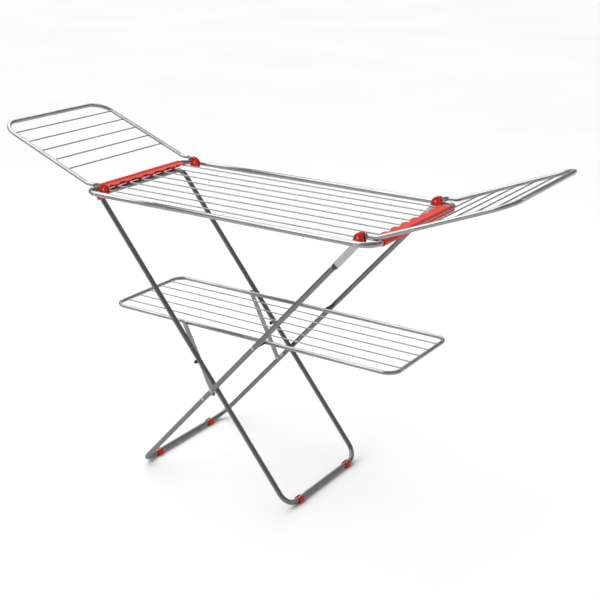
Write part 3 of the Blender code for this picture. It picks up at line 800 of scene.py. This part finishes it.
def build_legs():
    margin = LEG_TUBE * CAD_ROUND
    floor_z = FOOT_HEIGHT + LEG_TUBE
    floor = middle_of("foot_outer_front")
    floor.y, floor.z = 0.0, floor_z
    _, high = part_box("outer_legs")
    block_face, _ = faces_of("bracket_right_front")
    flat_y = block_face - LEG_FLAT_LIFT - FLAT_HALF_THICKNESS
    # Both leg loops take the darker leg paint, which is painted shade
    outer = u_tube(
        "outer_leg_tube", JOINTS["rack_turn"], floor, high.y - margin, LEG_TUBE, LEG_CORNER,
        (LEG_FLAT_LENGTH, LEG_FLAT_HALF_WIDTH, flat_y, LEG_TAPER, LEG_TAPER, 0.0), LEG_SHADED_PAINT,
    )
    # Painted highlight: faces of the pressed ends that look along Y take the lighter paint
    outer.data.materials.append(PRESSED_HIGHLIGHT_PAINT)
    for face in outer.data.polygons:
        from_top = face.center - JOINTS["rack_turn"]
        from_top.y = 0.0
        if from_top.length < LEG_FLAT_LENGTH and abs(face.normal.y) > HIGHLIGHT_FACING:
            face.material_index = 1
    attach(outer, "outer_legs", "leg_tube")
    _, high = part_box("inner_legs")
    foot = middle_of("foot_inner_front")
    foot.y, foot.z = 0.0, floor_z
    along = (JOINTS["fold"] - foot).normalized()
    head = foot + along * ((high.z - LEG_TUBE * CAD_ROUND - foot.z) / along.z)
    inner = ring_tube(
        "inner_leg_tube", foot, head, high.y - margin, LEG_TUBE, (LEG_CORNER, INNER_TOP_CORNER),
        LEG_SHADED_PAINT,
    )
    attach(inner, "inner_legs", "leg_tube")


def rivet(node, name, place, side, head=HEAD):
    """A rivet from one end of its CAD node's box to the other, with a head at each end."""
    inner, outer = faces_of(node)
    profile = rivet_profile(outer - HEAD_SPACE, inner + HEAD_SPACE, head)
    return turned(name, place, side, profile, RIVET_ZINC)


def collar(name, place, side, outer, inner, radius, material):
    """A short turned sleeve with rounded rims."""
    rim = COLLAR_RIM
    profile = [
        (outer, radius - rim), (outer - 0.3 * rim, radius - 0.3 * rim), (outer - rim, radius),
        (inner + rim, radius), (inner + 0.3 * rim, radius - 0.3 * rim), (inner, radius - rim),
    ]
    return turned(name, place, side, profile, material)


def build_fixings():
    """Rivets where the legs, struts and shelf turn, with a washer or sleeve behind each leg."""
    _, leg_outer = faces_of("outer_legs")
    behind_leg = leg_outer + LEG_TUBE * (1 - CAD_ROUND) - 2 * LEG_TUBE - HEAD_LIFT
    _, inner_leg = faces_of("inner_legs")
    _, rail_face = faces_of("shelf_frame")
    sleeves = (
        ("leg_rivet", "fold", inner_leg + SLEEVE_GAP, HEAD, RIVET_ZINC, "rivet"),
        ("strut_pin", "front_strut_turn", STRUT_FACE, STRUT_SPACER, RIVET_ZINC, "rivet"),
        ("shelf_pin", "shelf_turn", rail_face + SHELF_SLEEVE_GAP, HEAD, DARK_PLASTIC, "dark_plastic"),
    )
    for name, side in SIDES:
        for piece, joint, inner, radius, material, slot in sleeves:
            node = f"{piece}_{name}"
            attach(rivet(node, f"{piece}_body_{name}", JOINTS[joint], side), node, "rivet")
            sleeve = collar(
                f"{piece}_sleeve_{name}", JOINTS[joint], side, behind_leg, inner, radius, material
            )
            attach(sleeve, node, slot, replace=False)
        build_top_rivet(name, side)
        build_knob(name, side)


def build_top_rivet(name, side):
    """The leg's top rivet: a domed head on the leg's inner face, its shank blind in the block."""
    node = f"top_rivet_{name}"
    inner, outer = faces_of(node)
    profile = [(outer, PIN), (inner + HEAD_SPACE, PIN)]
    profile += dome(inner + HEAD_SPACE, -1.0, HEAD, HEAD_THICKNESS)
    pin = turned(f"leg_top_pin_{name}", JOINTS["rack_turn"], side, profile, RIVET_ZINC)
    attach(pin, node, "rivet")


def build_knob(name, side):
    """A plastic stop with a rounded nose, on a short neck from the leg's side."""
    node = f"stop_knob_{name}"
    low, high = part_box(node)
    middle = middle_of(node)
    inner, outer = faces_of(node)
    radius = (high.x - low.x) / 2 / CAD_ROUND
    profile = []
    for end, inward in ((outer, -1.0), (inner, 1.0)):
        nose = [
            (end + inward * KNOB_NOSE * (1 - math.sin(math.radians(a))),
             radius * (0.45 + 0.55 * math.cos(math.radians(a))))
            for a in (84, 60, 40, 20, 0)
        ]
        profile += nose if inward < 0 else reversed(nose)
    attach(turned(f"knob_{name}", middle, side, profile, DARK_PLASTIC), node, "dark_plastic")
    foot = middle_of("foot_inner_front")
    along = JOINTS["fold"] - Vector((foot.x, 0.0, FOOT_HEIGHT + LEG_TUBE))
    away = along.cross(Vector((0.0, 1.0, 0.0))).normalized()
    neck = welded_wire(
        f"knob_neck_{name}", middle - away * (0.5 * radius), middle - away * (1.25 * radius),
        KNOB_NECK, DARK_PLASTIC,
    )
    attach(neck, node, "dark_plastic", replace=False)


def foot_outline(inner, outer, height):
    """End view of a foot: a clip round the floor bar, open at the top, flat underneath."""
    chamfer = FOOT_CHAMFER
    outline = []
    for k in range(5):
        angle = math.radians(FOOT_RIM - FOOT_RIM * k / 4)
        outline.append((outer * math.cos(angle), outer * math.sin(angle)))
    outline += [(outer, chamfer - height), (outer - chamfer, -height)]
    outline += [(chamfer - outer, -height), (-outer, chamfer - height)]
    for k in range(5):
        angle = math.radians(180 - FOOT_RIM * k / 4)
        outline.append((outer * math.cos(angle), outer * math.sin(angle)))
    for k in range(25):
        angle = math.radians(180 - FOOT_RIM + (180 + 2 * FOOT_RIM) * k / 24)
        outline.append((inner * math.cos(angle), inner * math.sin(angle)))
    return outline


def build_feet():
    height = FOOT_HEIGHT + LEG_TUBE
    for pair in ("outer", "inner"):
        for name, _ in SIDES:
            node = f"foot_{pair}_{name}"
            low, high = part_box(node)
            x = (low.x + high.x) / 2

            def place(u, v, y, x=x):
                return Vector((x + u, y, height + v))

            outer = (high.x - low.x) / 2
            outline = foot_outline(LEG_TUBE + 0.0002, outer, height)
            foot = slab(f"foot_clip_{pair}_{name}", outline, low.y, high.y, place, RED_PLASTIC)
            below, top, reach = -height - 0.001, -height + GROOVE_DEPTH, 0.02
            groove = [(-reach, below), (reach, below), (reach, top), (-reach, top)]
            for share in GROOVE_SHARES:
                y = low.y + (high.y - low.y) * share
                start, stop = y - GROOVE_HALF_WIDTH, y + GROOVE_HALF_WIDTH
                cutter = slab("groove", groove, start, stop, place, RED_PLASTIC)
                boolean(foot, cutter, "DIFFERENCE")
            soften(foot, FINE_EDGE, 2)
            attach(foot, node, "red_plastic")


# ---------------------------------------------------------------- the shelf


def build_shelf():
    start, end, half_width = loop_ends("shelf_frame", SHELF_TUBE)
    corners = (SHELF_CORNER, SHELF_CORNER)
    seams = (SHELF_SEAM * (end - start).length,)
    loop = ring_tube("shelf_loop", start, end, half_width, SHELF_TUBE, corners, SHELF_PAINT, seams)
    attach(loop, "shelf_frame", "shelf_tube")
    for i in range(SHELF_WIRES):
        node = f"shelf_wire_{i + 1}"
        wire = welded_wire(f"shelf_line_{i + 1}", *wire_line(node), SHELF_WIRE, WIRE_PAINT)
        attach(wire, node, "wire")


def build_struts():
    """Flat strips with round ends, and a button at the top that bears on the shelf rail."""
    foot = JOINTS["front_strut_turn"]
    for name, side in SIDES:
        node = f"strut_{name}"
        low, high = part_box(node)
        top = Vector((low.x + STRUT_HALF_WIDTH, 0.0, high.z - STRUT_HALF_WIDTH))
        start = math.atan2(top.z - foot.z, top.x - foot.x)
        outline = []
        for centre, first in ((top, start - math.pi / 2), (foot, start + math.pi / 2)):
            for k in range(17):
                angle = first + math.pi * k / 16
                x = centre.x + STRUT_HALF_WIDTH * math.cos(angle)
                outline.append((x, centre.z + STRUT_HALF_WIDTH * math.sin(angle)))
        face, _ = faces_of(node)
        strut = slab(
            f"strut_strip_{name}", outline, face, face + STRUT_THICKNESS,
            lambda x, z, y, side=side: Vector((x, side * y, z)), STRUT_ZINC,
        )
        soften(strut, FINE_EDGE, 2)
        attach(strut, node, "strut_steel")
        crown = list(reversed(dome(face + STRUT_THICKNESS - BUTTON_SINK, 1.0, HEAD, BUTTON_HEIGHT)))
        button = turned(f"strut_button_{name}", top, side, crown, RIVET_ZINC)
        attach(button, node, "rivet", replace=False)


# ---------------------------------------------------------------- studio


def area_light(name, location, target, size, power):
    data = bpy.data.lights.new(name, "AREA")
    data.shape = "RECTANGLE"
    data.size, data.size_y = size
    data.energy = power
    light = bpy.data.objects.new(name, data)
    bpy.context.scene.collection.objects.link(light)
    light.location = location
    light.rotation_euler = (Vector(target) - Vector(location)).to_track_quat("-Z", "Y").to_euler()


def eased(tree, source, start, end, low, high):
    """A pattern that eases from low to high as its source goes from start to end."""
    node = tree.nodes.new("ShaderNodeMapRange")
    node.interpolation_type = "SMOOTHSTEP"
    node.inputs["From Min"].default_value = start
    node.inputs["From Max"].default_value = end
    node.inputs["To Min"].default_value = low
    node.inputs["To Max"].default_value = high
    tree.links.new(source, node.inputs["Value"])
    return node.outputs["Result"]


def product(tree, first, second):
    node = tree.nodes.new("ShaderNodeMath")
    node.operation = "MULTIPLY"
    tree.links.new(first, node.inputs[0])
    tree.links.new(second, node.inputs[1])
    return node.outputs["Value"]


def build_studio():
    shape = bmesh.new()
    bmesh.ops.create_grid(shape, x_segments=8, y_segments=8, size=FLOOR_HALF_SIZE)
    floor = finish_mesh("floor", shape, floor_paint())
    world = bpy.data.worlds.new("studio")
    world.use_nodes = True
    tree = world.node_tree
    background = tree.nodes["Background"]
    background.inputs["Color"].default_value = (1.0, 1.0, 1.0, 1.0)
    direction = tree.nodes.new("ShaderNodeTexCoord").outputs["Generated"]
    split = tree.nodes.new("ShaderNodeSeparateXYZ")
    tree.links.new(direction, split.inputs[0])
    panel = eased(tree, split.outputs["Z"], *PANEL_LOW_EDGE, 0.0, PANEL_BRIGHT)
    panel = product(tree, panel, eased(tree, split.outputs["X"], *PANEL_LEFT_EDGE, 0.0, 1.0))
    panel = product(tree, panel, eased(tree, split.outputs["X"], *PANEL_RIGHT_EDGE, 1.0, 0.0))
    sky = eased(tree, panel, 0.0, PANEL_BRIGHT, SKY_DIM, PANEL_BRIGHT)
    tree.links.new(sky, background.inputs["Strength"])
    bpy.context.scene.world = world
    area_light("key", (-2.0, -2.4, 3.0), (0.0, 0.0, 0.7), (1.6, 1.6), 14.0)
    area_light("top", (0.6, 0.8, 3.6), (0.0, 0.0, 0.7), (2.4, 1.2), 10.0)
    area_light("back", (2.8, 2.8, 2.2), (0.0, 0.0, 0.8), (0.6, 1.8), 8.0)
    bpy.context.scene.view_settings.view_transform = "Standard"


def build_camera():
    azimuth, elevation = CAMERA_AZIMUTH, CAMERA_ELEVATION
    back = Vector((
        math.sin(azimuth) * math.cos(elevation),
        -math.cos(azimuth) * math.cos(elevation),
        math.sin(elevation),
    ))
    data = bpy.data.cameras.new("camera")
    data.sensor_width = 36.0
    data.lens = CAMERA_LENS
    camera = bpy.data.objects.new("camera", data)
    bpy.context.scene.collection.objects.link(camera)
    camera.location = CAMERA_TARGET + back * CAMERA_DISTANCE
    camera.rotation_euler = (-back).to_track_quat("-Z", "Y").to_euler()
    bpy.context.scene.camera = camera


build_rack()
build_combs()
build_hinges()
build_wings()
build_legs()
build_fixings()
build_shelf()
build_struts()
build_feet()
build_studio()
build_camera()
